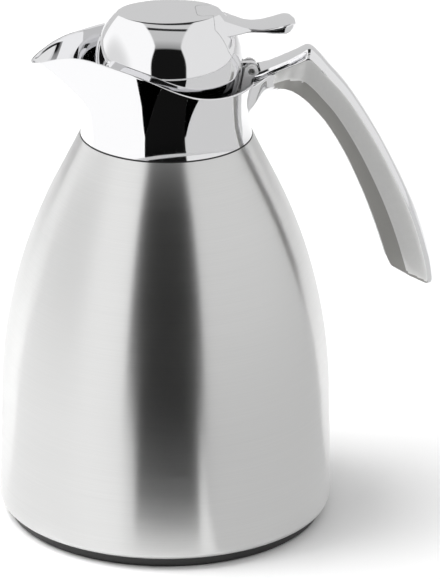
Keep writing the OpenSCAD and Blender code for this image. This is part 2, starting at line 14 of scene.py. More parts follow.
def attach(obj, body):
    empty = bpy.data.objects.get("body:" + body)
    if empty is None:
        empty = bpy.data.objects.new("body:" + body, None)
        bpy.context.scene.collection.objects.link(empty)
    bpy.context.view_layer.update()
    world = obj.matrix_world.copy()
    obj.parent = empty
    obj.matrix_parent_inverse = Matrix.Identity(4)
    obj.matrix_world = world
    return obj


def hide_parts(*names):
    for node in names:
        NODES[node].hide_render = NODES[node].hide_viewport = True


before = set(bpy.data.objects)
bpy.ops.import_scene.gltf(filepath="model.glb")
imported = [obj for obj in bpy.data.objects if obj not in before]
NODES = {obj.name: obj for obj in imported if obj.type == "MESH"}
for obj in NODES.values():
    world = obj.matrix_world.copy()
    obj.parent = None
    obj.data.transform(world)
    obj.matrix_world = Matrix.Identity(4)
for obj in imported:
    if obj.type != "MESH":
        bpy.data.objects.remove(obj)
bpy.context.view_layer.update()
MM = 0.001

# Sizes of the part's source. Steel body and foot:
BODY_R, BODY_TOP, NECK_R, SHOULDER_Z = 75, 179.4, 38.5, 58
TAPER, CONE, SHELL_T, CORNER_R = 1.1, 26.5, 0.8, 3
FOOT_H, CAP_WALL, CAP_FLOOR_Z, PAD_T = 5, 3, 14, 1.6
FOOT_R = BODY_R - 4
HEM_R = FOOT_R - 2.5
CAP_R = HEM_R - 0.7
# Collar:
COLLAR_Z, RIM_LOW, RIM_RISE, TIP_DIP = 180.0, 26, 15.5, 6.9
COLLAR_R, WAIST_R, RIM_R, SPOUT, SPOUT_A, RIM_T = 38.2, 37.0, 39.8, 20, 18.5, 1.2
INSERT_R, WAIST_V = 33.7, 0.35
# Ball, hinge and lever:
BALL_R, BALL_X, BALL_Z, FLAT_H, FLAT_W, BALL_T = 32.8, 1, 212.7, 23.7, 16, 2
BASE_Z = BALL_Z - 13.7
FLAT_Z = BALL_Z + FLAT_H
SIDE_H = FLAT_H / math.sqrt(1 - (FLAT_W / BALL_R) ** 2)
PIN_X, PIN_Z, PIN_R, KNUCKLE_R = 37.2, 209, 1.5, 3.6
EAR_Y, EAR_T, KNUCKLE_Y = 3.5, 1.8, (-3.2, -0.1)
LEVER_W, TAB_W, TAB_T, TAB_TOP, LEVER_REACH = 7.2, 9, 4.4, 18.9, 56.7
HEAD_X, HEAD_DEPTH, REAR_X = 13, 3.2, 20

WELD_M = 1e-6           # points closer than this are one point
SMOOTH = 35             # an edge bent by more than this is sharp, if a piece doesn't say its own
CORNER_SHARE = 0.45     # a rounded corner takes at most this share of each side
NOISE_LOW, NOISE_HIGH = 0.3, 0.7


# ---------------------------------------------------------------- mesh helpers
def new_object(name, data):
    obj = bpy.data.objects.new(name, data)
    bpy.context.scene.collection.objects.link(obj)
    return obj


def shade(mesh, angle):
    mesh.shade_smooth()
    mesh.set_sharp_from_angle(angle=math.radians(angle))


def add(name, verts, faces, angle):
    """A new mesh object from points in millimetres."""
    mesh = bpy.data.meshes.new(name)
    mesh.from_pydata([tuple(np.asarray(v, float) * MM) for v in verts], [], faces)
    bm = bmesh.new()
    bm.from_mesh(mesh)
    bmesh.ops.remove_doubles(bm, verts=bm.verts, dist=WELD_M)
    bmesh.ops.recalc_face_normals(bm, faces=bm.faces)
    bm.to_mesh(mesh)
    bm.free()
    shade(mesh, angle)
    return new_object(name, mesh)


def loft(name, rings, closed=False, angle=SMOOTH):
    """Skin over rings of equal length. A closed loft joins its last ring to its first."""
    rings = [np.asarray(r, float) for r in rings]
    m, n = len(rings), len(rings[0])
    faces = []
    for j in range(m if closed else m - 1):
        a, b = j * n, ((j + 1) % m) * n
        for i in range(n):
            k = (i + 1) % n
            faces.append((a + i, a + k, b + k, b + i))
    if not closed:
        faces.append(tuple(range(n - 1, -1, -1)))
        faces.append(tuple((m - 1) * n + i for i in range(n)))
    return add(name, np.concatenate(rings), faces, angle)


def lathe(name, profile, steps, angle):
    """Turns a closed outline of (radius, height) points about the flask's axis."""
    turn = np.linspace(0, 2 * math.pi, steps, endpoint=False)
    rings = [np.stack([r * np.cos(turn), r * np.sin(turn), np.full(steps, z)], 1)
             for r, z in profile]
    return loft(name, rings, closed=True, angle=angle)


def prism(name, outline, axis, low, high):
    """An outline in the two other axes, extruded along one axis."""
    place = {"x": lambda h, p: (h, p[0], p[1]),
             "y": lambda h, p: (p[0], h, p[1]),
             "z": lambda h, p: (p[0], p[1], h)}[axis]
    return loft(name, [[place(h, p) for p in outline] for h in (low, high)])


def arc(x, y, r, start, end, steps):
    a = np.radians(np.linspace(start, end, steps + 1))
    return [(x + r * math.cos(t), y + r * math.sin(t)) for t in a]


def circle(x, y, r, steps):
    return arc(x, y, r, 0, 360, steps)[:-1]


def rounded(corners, steps=4, closed=True):
    """An outline from corners (x, y, radius), each with a radius replaced by a short curve."""
    pts = [np.asarray(c[:2], float) for c in corners]
    n = len(pts)
    out = []
    for i, p in enumerate(pts):
        r = corners[i][2]
        if r <= 0 or (not closed and i in (0, n - 1)):
            out.append(p)
            continue
        a, b = pts[i - 1] - p, pts[(i + 1) % n] - p
        la, lb = np.linalg.norm(a), np.linalg.norm(b)
        pa = p + a / la * min(r, la * CORNER_SHARE)
        pb = p + b / lb * min(r, lb * CORNER_SHARE)
        for t in np.linspace(0, 1, steps + 1):
            out.append((1 - t) ** 2 * pa + 2 * t * (1 - t) * p + t * t * pb)
    return out


def mirrored(half):
    """Closes half an outline, whose first and last points lie on the mirror line x = 0."""
    return [(x, y) for x, y in half] + [(-x, y) for x, y in half[::-1][1:-1]]


def cubic(p0, p1, p2, p3, t):
    return 0.5 * (2 * p1 + (p2 - p0) * t + (2 * p0 - 5 * p1 + 4 * p2 - p3) * t * t
                  + (3 * p1 - p0 - 3 * p2 + p3) * t ** 3)


def along(rows, u):
    """A smooth value between the rows of a table."""
    rows = np.asarray(rows, float)
    top = len(rows) - 1
    i = min(int(math.floor(u)), top - 1)
    q = [rows[max(0, min(top, i + d))] for d in (-1, 0, 1, 2)]
    return cubic(*q, u - i)


def boolean(obj, cutter, operation="DIFFERENCE", keep=False):
    """Cuts or joins in place, and removes the cutter unless it is kept for a second cut."""
    mod = obj.modifiers.new("cut", "BOOLEAN")
    mod.object, mod.operation, mod.solver = cutter, operation, "EXACT"
    bpy.context.view_layer.update()
    graph = bpy.context.evaluated_depsgraph_get()
    made = bpy.data.meshes.new_from_object(obj.evaluated_get(graph))
    obj.modifiers.clear()
    obj.data = made
    shade(made, SMOOTH)
    if not keep:
        bpy.data.objects.remove(cutter)
    return obj


def join(name, objs, angle=SMOOTH):
    """One object out of several."""
    bm = bmesh.new()
    for o in objs:
        bm.from_mesh(o.data)
    mesh = bpy.data.meshes.new(name)
    bm.to_mesh(mesh)
    bm.free()
    shade(mesh, angle)
    for o in objs:
        bpy.data.objects.remove(o)
    return new_object(name, mesh)


# ---------------------------------------------------------------- materials
def material(name, base, metallic, roughness, **sockets):
    mat = bpy.data.materials.new(name)
    mat.use_nodes = True
    tree = mat.node_tree
    bsdf = tree.nodes["Principled BSDF"]
    bsdf.inputs["Base Color"].default_value = (*base, 1)
    bsdf.inputs["Metallic"].default_value = metallic
    bsdf.inputs["Roughness"].default_value = roughness
    for key, value in sockets.items():
        bsdf.inputs[key.replace("_", " ")].default_value = value
    return mat, tree, bsdf


def noise(tree, scale=1.0, stretch=(1, 1, 1), detail=3.0, rough=0.6):
    """Noise in the piece's own coordinates, stretched per axis."""
    coord = tree.nodes.new("ShaderNodeTexCoord")
    mapping = tree.nodes.new("ShaderNodeMapping")
    mapping.inputs["Scale"].default_value = stretch
    tex = tree.nodes.new("ShaderNodeTexNoise")
    tex.inputs["Scale"].default_value = scale
    tex.inputs["Detail"].default_value = detail
    tex.inputs["Roughness"].default_value = rough
    tree.links.new(coord.outputs["Object"], mapping.inputs["Vector"])
    tree.links.new(mapping.outputs["Vector"], tex.inputs["Vector"])
    return tex.outputs["Fac"]


def remap(tree, value, low, high):
    """Turns noise into a number between low and high."""
    node = tree.nodes.new("ShaderNodeMapRange")
    node.inputs["From Min"].default_value = NOISE_LOW
    node.inputs["From Max"].default_value = NOISE_HIGH
    node.inputs["To Min"].default_value = low
    node.inputs["To Max"].default_value = high
    tree.links.new(value, node.inputs["Value"])
    return node.outputs["Result"]


def tint(tree, value, dark, light):
    """Turns noise into a colour between dark and light."""
    ramp = tree.nodes.new("ShaderNodeValToRGB")
    ramp.color_ramp.elements[0].position = NOISE_LOW
    ramp.color_ramp.elements[0].color = (*dark, 1)
    ramp.color_ramp.elements[1].position = NOISE_HIGH
    ramp.color_ramp.elements[1].color = (*light, 1)
    tree.links.new(value, ramp.inputs["Fac"])
    return ramp.outputs["Color"]


def scaled(base, factor):
    return tuple(min(1, c * factor) for c in base)


def bump(tree, bsdf, height, strength, distance_m):
    node = tree.nodes.new("ShaderNodeBump")
    node.inputs["Strength"].default_value = strength
    node.inputs["Distance"].default_value = distance_m
    tree.links.new(height, node.inputs["Height"])
    tree.links.new(node.outputs["Normal"], bsdf.inputs["Normal"])


def brushed_steel():
    mat, tree, bsdf = material("brushed_steel", (0.72, 0.72, 0.715), 1.0, 0.3, Anisotropic=0.95)
    # The brushing runs round the body, so reflections spread up and down.
    bsdf.inputs["Anisotropic Rotation"].default_value = 0.25
    fine = noise(tree, stretch=(22, 22, 9000), rough=0.5)
    broad = noise(tree, stretch=(6, 6, 900), detail=2.0, rough=0.5)
    colour = tint(tree, fine, (0.70, 0.70, 0.695), (0.74, 0.74, 0.735))
    tree.links.new(colour, bsdf.inputs["Base Color"])
    tree.links.new(remap(tree, broad, 0.28, 0.31), bsdf.inputs["Roughness"])
    tangent = tree.nodes.new("ShaderNodeTangent")
    tangent.direction_type, tangent.axis = "RADIAL", "Z"
    tree.links.new(tangent.outputs["Tangent"], bsdf.inputs["Tangent"])
    bump(tree, bsdf, fine, strength=0.05, distance_m=0.00001)
    return mat


def chrome():
    mat, tree, bsdf = material("chrome", (0.86, 0.86, 0.87), 1.0, 0.03)
    film = noise(tree, 60)
    tree.links.new(remap(tree, film, 0.03, 0.055), bsdf.inputs["Roughness"])
    waves = noise(tree, 45, detail=1.0, rough=0.4)
    bump(tree, bsdf, waves, strength=0.06, distance_m=0.0002)
    return mat


def satin(name, base, rough, scale=900.0, metal=1.0):
    """Metal with a fine even grain."""
    mat, tree, bsdf = material(name, base, metal, rough)
    grain = noise(tree, scale)
    tree.links.new(remap(tree, grain, rough - 0.02, rough + 0.03), bsdf.inputs["Roughness"])
    colour = tint(tree, grain, scaled(base, 0.98), scaled(base, 1.01))
    tree.links.new(colour, bsdf.inputs["Base Color"])
    bump(tree, bsdf, grain, strength=0.15, distance_m=0.00003)
    return mat


def moulded(name, base, rough, scale=1400.0, depth_m=0.00004, **sockets):
    """Plastic or rubber with the fine texture of its mould."""
    mat, tree, bsdf = material(name, base, 0.0, rough, **sockets)
    fine = noise(tree, scale, detail=2.0, rough=0.5)
    broad = noise(tree, 55)
    colour = tint(tree, broad, scaled(base, 0.86), scaled(base, 1.12))
    tree.links.new(colour, bsdf.inputs["Base Color"])
    tree.links.new(remap(tree, broad, rough - 0.05, rough + 0.06), bsdf.inputs["Roughness"])
    bump(tree, bsdf, fine, strength=0.3, distance_m=depth_m)
    return mat


def silvered_glass():
    mat, tree, bsdf = material("silvered_glass", (0.86, 0.88, 0.9), 1.0, 0.05,
                               Coat_Weight=1.0, Coat_Roughness=0.02)
    streak = noise(tree, 30, detail=4.0)
    tree.links.new(remap(tree, streak, 0.03, 0.1), bsdf.inputs["Roughness"])
    colour = tint(tree, streak, (0.8, 0.82, 0.85), (0.92, 0.94, 0.95))
    tree.links.new(colour, bsdf.inputs["Base Color"])
    return mat


STEEL = brushed_steel()
CHROME = chrome()
STRIP = satin("strip_satin", (0.5, 0.5, 0.51), 0.25)
GRIP = satin("grip_satin", (0.9, 0.9, 0.89), 0.3, scale=700.0, metal=0.55)
# The hinge bracket is near white and mostly non-metal: painted highlight, standing in for the
# bright reflection on its ear.
BRACKET_PAINTED_HIGHLIGHT = satin("bracket_painted_highlight", (0.95, 0.95, 0.95), 0.3, scale=1600.0, metal=0.2)
# A darker copy of the grip's satin for the handle's inner bevel: painted shade, not a finish of
# its own.
GRIP_BEVEL_PAINTED_SHADE = satin("grip_bevel_painted_shade", (0.38, 0.375, 0.36), 0.36, scale=700.0, metal=0.5)
SCREW = satin("screw_zinc", (0.62, 0.62, 0.6), 0.28, scale=1500.0)
SPRING = satin("spring_wire", (0.5, 0.5, 0.5), 0.25, scale=2200.0)
DARK = moulded("dark_plastic", (0.035, 0.035, 0.038), 0.42)
BLACK = moulded("black_plastic", (0.012, 0.012, 0.012), 0.38)
RUBBER = moulded("black_rubber", (0.015, 0.015, 0.015), 0.75, scale=900.0,
                 depth_m=0.00008)
GREY_RUBBER = moulded("grey_rubber", (0.16, 0.16, 0.16), 0.7, scale=900.0,
                      depth_m=0.00008)
SILICONE = moulded("silicone", (0.72, 0.72, 0.7), 0.5, scale=700.0, depth_m=0.00003,
                   Subsurface_Weight=0.3, Subsurface_Scale=0.002)
PAD = moulded("white_pad", (0.82, 0.82, 0.78), 0.8, scale=600.0, depth_m=0.0001)
GLASS = silvered_glass()


def dress(obj, mat):
    """Gives the whole piece one material."""
    obj.data.materials.clear()
    obj.data.materials.append(mat)
    for poly in obj.data.polygons:
        poly.material_index = 0


def finish_piece(obj, mat, body, node):
    """The piece rides on its body in place of a CAD node."""
    dress(obj, mat)
    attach(obj, body)
    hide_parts(node)
    return obj


def carry(node, mat):
    """A CAD node that stays as it is, with a material of its own."""
    dress(NODES[node], mat)
    shade(NODES[node].data, 30)


# ---------------------------------------------------------------- steel body and base
HEM_W = 2                       # flat of the turned-in hem
LIP_IN, LIP_UP = 0.08, 0.06     # the small chamfer at the body's top edge
PAD_EDGE = 1.3                  # wall left on each side of the rubber ring's groove
PLUG_R, PLUG_LAP = 6, 0.02      # the middle of the cap's floor, which closes the turned ring
CORNER_STEPS, SHOULDER_STEPS = 12, 28


def body_side(t, fine):
    """The steel body's outline from foot to neck, moved inwards by t: corner, belly and cone."""
    taper = math.atan(TAPER / (SHOULDER_Z - FOOT_H - CORNER_R))
    cone = math.radians(CONE)
    belly = BODY_R - TAPER
    # The shoulder's radius, for an arc that touches the belly and the cone.
    turn_r = ((NECK_R - belly + (BODY_TOP - SHOULDER_Z) * math.tan(cone))
              / ((math.sin(cone) - math.sin(taper)) * math.tan(cone)
                 - math.cos(taper) + math.cos(cone)))
    x, z = belly - turn_r * math.cos(taper), SHOULDER_Z - turn_r * math.sin(taper)
    a = math.degrees(taper)
    side = arc(BODY_R - CORNER_R, FOOT_H + CORNER_R, CORNER_R - t, -90, a, CORNER_STEPS)
    side += arc(x, z, turn_r - t, a, CONE, SHOULDER_STEPS * fine)
    side.append((NECK_R - t / math.cos(cone), BODY_TOP))
    return side


def make_shell():
    outer, inner = body_side(0, 4), body_side(SHELL_T, 2)
    lip = [(outer[-1][0] - LIP_IN, outer[-1][1] + LIP_UP)]
    hem = [(HEM_R, FOOT_H), (HEM_R + HEM_W, FOOT_H)]
    profile = hem + outer + lip + inner[::-1] + [(HEM_R, FOOT_H + SHELL_T)]
    body = lathe("steel_body", profile, steps=384, angle=40)
    return finish_piece(body, STEEL, "carafe", "outer_shell")


def make_foot():
    seat, floor_top = PAD_T / 2, CAP_FLOOR_Z + CAP_WALL
    corners = [
        (CAP_R - CAP_WALL, CAP_FLOOR_Z, 1.2), (CAP_R - CAP_WALL, seat, 0.4),
        (CAP_R - PAD_EDGE, seat, 0), (CAP_R - PAD_EDGE, PAD_T, 0),
        (FOOT_R - PAD_EDGE, PAD_T, 0), (FOOT_R - PAD_EDGE, seat, 0),
        (FOOT_R, seat, 0.7), (FOOT_R, FOOT_H, 0.3),
        (CAP_R, FOOT_H, 0), (CAP_R, floor_top, 0.5),
        (PLUG_R, floor_top, 0), (PLUG_R, CAP_FLOOR_Z, 0)]
    ring = lathe("foot_ring", rounded(corners), steps=256, angle=40)
    plug = prism("foot_floor", circle(0, 0, PLUG_R + PLUG_LAP, 64), "z", CAP_FLOOR_Z, floor_top)
    foot = join("black_foot", [ring, plug])
    finish_piece(foot, BLACK, "carafe", "base_cap")


# ---------------------------------------------------------------- collar and handle
# The collar's formulas take a, the angle from the spout, and v, 0 at its foot and 1 at its rim.
RIM_MID, RIM_SOFT, TIP_A = 86, 13, 12.5         # where and how softly the rim rises to the spout
TIP_R, TIP_FADE, SPOUT_POWER = 1.5, 6, 1.7      # how round the spout's tip is
INSERT_GAP, RIM_TILT, RIM_CROWN = 0.3, 0.15, 0.45
LOW_IN, LOW_OUT, LOW_V = 0.9, 0.06, 0.004       # the chamfers at the collar's foot
COLLAR_STEPS, ROOT_STEPS = 480, 240

# The handle: outer x and z, inner x and z, half width. Heights are above the collar's foot.
SPINE = [
    [32, 28.4, 31, 1, 15], [39.6, 29.3, 36.8, 7.6, 13.4], [46, 31, 42.6, 16.6, 9.6],
    [53.5, 34, 49.8, 19.6, 9.2], [58.5, 36.4, 54.4, 18.8, 9.2], [63.4, 38.6, 58, 16.8, 9.1],
    [67.6, 35.6, 61.6, 13.8, 9.2], [73, 29.2, 65.4, 9.8, 9], [82.3, 17.7, 71.6, 2, 8.8],
    [94, -1.3, 79.8, -12.2, 8.6], [104.7, -22.1, 88, -30.4, 8.4], [112.9, -41.2, 94, -46.6, 8.2],
    [118.8, -61.3, 98.6, -60.6, 8], [121, -76, 101.2, -66.6, 7.2]]
# Rows between which the strip lies, its half width and groove as shares of the handle's.
STRIP_FROM, STRIP_TO, STRIP_HALF, STRIP_DEPTH = 5.5, 12.4, 0.36, 0.1
GROOVE_RISE, GROOVE_LEAST, GROOVE_EDGE = 4, 0.02, 0.12
# The strip: how many rows shorter than its groove, gaps at its side and below it, and the
# heights of its edge and its middle, as shares of the handle's depth.
STRIP_SHORT, STRIP_GAP, STRIP_RISE = (0.4, 0.35), (0.02, 0.01), (0.995, 1.01)
STRIP_ROUND = 0.3
CROWN_H, CROWN_POWER, INNER_FACE = 0.16, 2.7, 0.99      # shares of the handle's depth
CROWN_AT = (0, 0.15, 0.3, 0.45, 0.6, 0.72, 0.83, 0.92)  # shares of its half width
# The side between crown and strip: shares of half width and depth, corner radius.
SIDE = [(1, CROWN_H, 1.8), (0.94, 0.4, 0), (0.86, 0.62, 1.2), (0.6, 0.86, 0), (0.42, 0.985, 0.7)]
END_R, END_U = 3.4, 0.4                 # rounding of the handle's end, and rows that it takes
END_NARROW = 0.5                        # share of the rounding that comes off its half width
ROOT_DEPTH, ROOT_STEP = 0.4, 1.5        # share of the wall that the root enters, rise above it
CUT_TOP = 60                            # height of the body that trims the root
EAR_GAP, KNUCKLE_GAP = 0.3, 0.5         # clearances of the notch for the hinge
# The satin sides start at GRIP_FROM, and take the faces that look sideways and not outwards.
# Faces less sideways than FLAT_FACING, on the bevel, get the darker copy of the satin as painted
# shade.
GRIP_FROM, SIDE_FACING, FLAT_FACING, OUT_X, OUT_Z, OUT_MOST = 47, 0.7, 0.93, 0.85, 0.5, 0.1


def rim_z(a):
    return (COLLAR_Z + RIM_LOW + RIM_RISE / (1 + np.exp((a - RIM_MID) / RIM_SOFT))
            - TIP_DIP * np.exp(-(a / TIP_A) ** 2))


def wall_r(v):
    low = WAIST_R + (COLLAR_R - WAIST_R) * ((WAIST_V - v) / WAIST_V) ** 2
    high = WAIST_R + (RIM_R - WAIST_R) * ((v - WAIST_V) / (1 - WAIST_V)) ** 2
    return np.where(v < WAIST_V, low, high)


def collar_out(a, v):
    soft = np.sqrt(a ** 2 + TIP_R ** 2) - TIP_R * np.exp(-(a / TIP_FADE) ** 2)
    return wall_r(v) + SPOUT * np.exp(-(np.abs(soft) / SPOUT_A) ** SPOUT_POWER) * v * v


def collar_wall(v):
    return RIM_T + (COLLAR_R - INSERT_R - INSERT_GAP - RIM_T) * (1 - v) ** 2


def collar_ring(v, inwards, n, lift=0.0):
    """A ring of the collar; inwards is the share of the wall's thickness from its outside."""
    turn = np.linspace(0, 360, n, endpoint=False)
    a = np.where(turn > 180, 360 - turn, turn)
    vv = np.full(n, float(v))
    r = collar_out(a, vv) - inwards * collar_wall(vv)
    z = COLLAR_Z + (rim_z(a) - COLLAR_Z) * v - inwards * RIM_TILT * v + lift
    t = np.radians(turn)
    return np.stack([-r * np.cos(t), -r * np.sin(t), z], 1)


def collar_shell():
    """The collar without its handle: up the inside, over the crowned rim, down the outside."""
    n = COLLAR_STEPS
    rings = [collar_ring(0.0, LOW_IN, n)]
    rings += [collar_ring(v, 1, n) for v in np.linspace(0, 1, 42)[1:]]
    for t in np.radians(np.linspace(0, 180, 9)[1:-1]):
        rings.append(collar_ring(1, 0.5 + 0.5 * math.cos(t), n, RIM_CROWN * math.sin(t)))
    rings += [collar_ring(v, 0, n) for v in np.linspace(1, LOW_V, 90)]
    rings += [collar_ring(0.0, LOW_OUT, n)]
    return loft("collar_shell", rings, closed=True, angle=50)


def spine_at(u):
    """The handle's outer point at u, the direction to its inner face, its depth and half width."""
    row = along(SPINE, u)
    outer, inner, w = row[0:2], row[2:4], row[4]
    d = np.linalg.norm(inner - outer)
    return outer, (inner - outer) / d, d, w


def half_section(u, w, d):
    """The handle's section on one side, across and deep, from the crown to the strip's groove."""
    ramp = min(u - STRIP_FROM, STRIP_TO - u) * GROOVE_RISE
    g = STRIP_DEPTH * min(1, max(GROOVE_LEAST, ramp))
    crown = [(f * w, CROWN_H * f ** CROWN_POWER * d, 0) for f in CROWN_AT]
    side = [(f * w, h * d, r) for f, h, r in SIDE]
    inner = [(STRIP_HALF * w, INNER_FACE * d, GROOVE_EDGE),
             (STRIP_HALF * w, (INNER_FACE - g) * d, 0), (0, (INNER_FACE - g) * d, 0)]
    return rounded(crown + side + inner, 3, closed=False)


def handle_ring(u, shrink=0.0, lower=0.0):
    """A ring of the handle; shrink narrows it, lower takes off some of its depth on each side."""
    outer, across, d, w = spine_at(u)
    out = []
    for x, y in mirrored(half_section(min(u, len(SPINE) - 1), w, d)):
        x, y = x * (1 - shrink / w), d / 2 + (y - d / 2) * (1 - 2 * lower / d)
        m = outer + across * y
        out.append((m[0], x, m[1] + COLLAR_Z))
    return out


def handle():
    """The handle, its root trimmed to end inside the collar's wall and just above its rim."""
    last = len(SPINE) - 1
    rings = [handle_ring(u) for u in np.linspace(0, last - END_U, last * 10 + 1)[:-1]]
    for t in np.radians(np.linspace(0, 90, 12)):
        c, s = 1 - math.cos(t), 1 - math.sin(t)
        rings.append(handle_ring(last - END_U * s, END_NARROW * END_R * c, END_R * c))
    bar = loft("handle", rings, angle=40)
    rim = collar_ring(1, ROOT_DEPTH, ROOT_STEPS)
    trim = [[(x, y, COLLAR_Z + CUT_TOP) for x, y, z in rim]]
    trim += [[(x, y, z + ROOT_STEP) for x, y, z in rim]]
    trim += [collar_ring(v, ROOT_DEPTH, ROOT_STEPS) for v in np.linspace(0.9, 0, 24)]
    return boolean(bar, loft("trim", trim))


def make_collar():
    bar, shell = handle(), collar_shell()
    reach = EAR_Y + EAR_T + EAR_GAP
    relief = prism("relief", circle(PIN_X, PIN_Z, KNUCKLE_R + KNUCKLE_GAP, 64), "y", -reach, reach)
    boolean(bar, relief, keep=True)
    boolean(shell, relief)
    whole = join("collar_and_handle", [shell, bar], 40)
    finish_piece(whole, CHROME, "carafe", "collar")
    # The handle's two sides are satin; its crown and edges are as bright as the collar.
    whole.data.materials.append(GRIP)
    whole.data.materials.append(GRIP_BEVEL_PAINTED_SHADE)
    for poly in whole.data.polygons:
        n = poly.normal
        outwards = OUT_X * n.x + OUT_Z * n.z
        on_grip = poly.center.x > GRIP_FROM * MM
        if on_grip and abs(n.y) > SIDE_FACING and outwards < OUT_MOST:
            # Faces between the flat side and the inner face take the darker copy: painted shade on
            # the bevel.
            poly.material_index = 1 if abs(n.y) > FLAT_FACING else 2


def make_strip():
    rings = []
    for u in np.linspace(STRIP_FROM + STRIP_SHORT[0], STRIP_TO - STRIP_SHORT[1], 90):
        outer, across, d, w = spine_at(u)
        side = (STRIP_HALF - STRIP_GAP[0]) * w
        low = (INNER_FACE - STRIP_DEPTH + STRIP_GAP[1]) * d
        edge, middle = STRIP_RISE[0] * d, STRIP_RISE[1] * d
        outline = rounded([(side, low, 0), (side, edge, STRIP_ROUND), (0, middle, 0),
                           (-side, edge, STRIP_ROUND), (-side, low, 0)])
        rings.append([((outer + across * y)[0], x, (outer + across * y)[1] + COLLAR_Z)
                      for x, y in outline])
    strip = loft("handle_strip", rings)
    finish_piece(strip, STRIP, "carafe", "grip_strip")


# ---------------------------------------------------------------- ball and lever
EDGE_LOW, EDGE_IN = 0.3, 0.7        # rounding of the flat top's edge
SADDLE_END, HEAD_R = 62, 3.2        # how far back the saddle's body reaches, corners of the head
HEAD_LAP, HEAD_UP = 6, 8            # how far the head's block enters the saddle's and stands up
SEAM, SINK = 0.12, 0.1              # seam round the lever, and how far the cut goes past the ball
SOLID_LOW = -0.7                    # where the ball as a solid ends, in radii above its centre
STRAP_X, STRAP_UP = 31.0, 0.4       # where the knuckle's strap starts, and its slope below
BORE_GAP, BORE_HALF = 0.05, 30
# The lever's section: drops of the top at half and full width with the edge's radius, and
# below, how far its edge lies up and in with its radius, and how far the middle hangs.
TOP_HALF, TOP_EDGE, TOP_R = 0.05, 0.35, 0.9
LOW_UP, LOW_R, UNDER_IN, UNDER_R, UNDER_SAG = 0.9, 0.9, 1.2, 0.7, 0.8

# The lever: x, top, half width above and below, underside. Heights are above the ball's centre.
LEVER = [
    [HEAD_X, FLAT_H, LEVER_W, LEVER_W, FLAT_H - 3.1],
    [18, FLAT_H, LEVER_W, LEVER_W + 0.6, FLAT_H - 4.2],
    [20.5, FLAT_H - 0.5, LEVER_W, 12.5, 17],
    [25, 21.2, LEVER_W, 14, 15.4],
    [31, 18.8, LEVER_W - 0.2, 10.5, 14.9],
    [35, 17.4, LEVER_W - 0.2, 8, 14.9],
    [38.5, 16.9, LEVER_W, LEVER_W + 0.2, 14.7],
    [42.6, 16.9, 8, 8, TAB_TOP - TAB_T + 0.1],
    [48, 17.9, TAB_W - 0.2, TAB_W - 0.2, TAB_TOP - TAB_T - 0.2],
    [52, TAB_TOP, TAB_W, TAB_W, TAB_TOP - TAB_T],
    [54.8, TAB_TOP + 0.3, TAB_W - 1.6, TAB_W - 1.8, TAB_TOP - TAB_T + 0.9],
    [LEVER_REACH, TAB_TOP - 0.4, TAB_W - 5, TAB_W - 5, TAB_TOP - 2]]
# The saddle's right half seen from behind: y, height above the ball's centre, corner radius.
SADDLE = [(0, 40, 0), (12, 40, 0), (14, FLAT_H, 3), (17.5, 14, 4), (18.5, 9, 4), (8.2, -7.5, 2.5),
          (0, -7.5, 0)]


def ball_ring(h, t, n):
    """Section of the ball at height h above its centre, moved inwards by t."""
    turn = np.linspace(0, 2 * math.pi, n, endpoint=False)
    r = BALL_R - t
    long = math.sqrt(max(r * r - h * h, 0))
    wide = r * math.sqrt(max(1 - (h / (SIDE_H - t)) ** 2, 0)) if h > 0 else long
    return np.stack([BALL_X + long * np.cos(turn), wide * np.sin(turn),
                     np.full(n, BALL_Z + h)], 1)


def ball_side(t, low, n, m):
    """Rings from the height low up to the flat top, whose edge is slightly rounded."""
    r, top = BALL_R - t, FLAT_H - t
    start, end = math.asin(low / r), math.asin((top - EDGE_LOW) / r)
    rings = [ball_ring(r * math.sin(a), t, n) for a in np.linspace(start, end, m)]
    edge = ball_ring(top, t, n)
    centre = np.array([BALL_X, 0, BALL_Z + top])
    reach = np.linalg.norm(edge - centre, axis=1)[:, None]
    inner = centre + (edge - centre) * (1 - EDGE_IN / reach)
    for k in np.linspace(0, 1, 9)[1:]:
        rings.append((1 - k) ** 2 * rings[m - 1] + 2 * k * (1 - k) * edge + k * k * inner)
    for k in (0.7, 0.4, 0.1, 0.002):
        rings.append(centre + (inner - centre) * k)
    return rings


def ball_shell(low, n=360, m=90):
    """The hollow ball, open below at the height low."""
    outside, inside = ball_side(0, low, n, m), ball_side(BALL_T, low, n, m // 3)
    return loft("ball_shell", outside[::-1] + inside, angle=40)


def ball_solid(grow, n=180, m=60):
    return loft("solid", ball_side(-grow, SOLID_LOW * BALL_R, n, m))


def grown(outline, c):
    """The outline moved outwards by c."""
    pts = np.asarray(outline, float)
    nxt, prv = np.roll(pts, -1, 0), np.roll(pts, 1, 0)
    turning = (pts[:, 0] * nxt[:, 1] - nxt[:, 0] * pts[:, 1]).sum()
    sign = 1 if turning > 0 else -1
    e0, e1 = pts - prv, nxt - pts
    e0 /= np.linalg.norm(e0, axis=1)[:, None]
    e1 /= np.linalg.norm(e1, axis=1)[:, None]
    n0, n1 = np.stack([e0[:, 1], -e0[:, 0]], 1), np.stack([e1[:, 1], -e1[:, 0]], 1)
    mid = n0 + n1
    mid /= (mid * mid).sum(1)[:, None] / 2
    return pts + sign * c * mid


def saddle(c):
    """What belongs to the lever's saddle on the ball's rear and to its head, grown by c."""
    outline = mirrored(rounded(SADDLE, 6, closed=False))
    shape = [(y, z + BALL_Z) for y, z in grown(outline, c)]
    body = prism("saddle", shape, "x", REAR_X - c, SADDLE_END)
    front, rear, side = HEAD_X - c, REAR_X + HEAD_LAP, LEVER_W + c
    plan = rounded([(front, -side, HEAD_R), (rear, -side, 0), (rear, side, 0),
                    (front, side, HEAD_R)], 8)
    head = prism("head", plan, "z", FLAT_Z - HEAD_DEPTH - c, FLAT_Z + HEAD_UP)
    return boolean(body, head, "UNION")


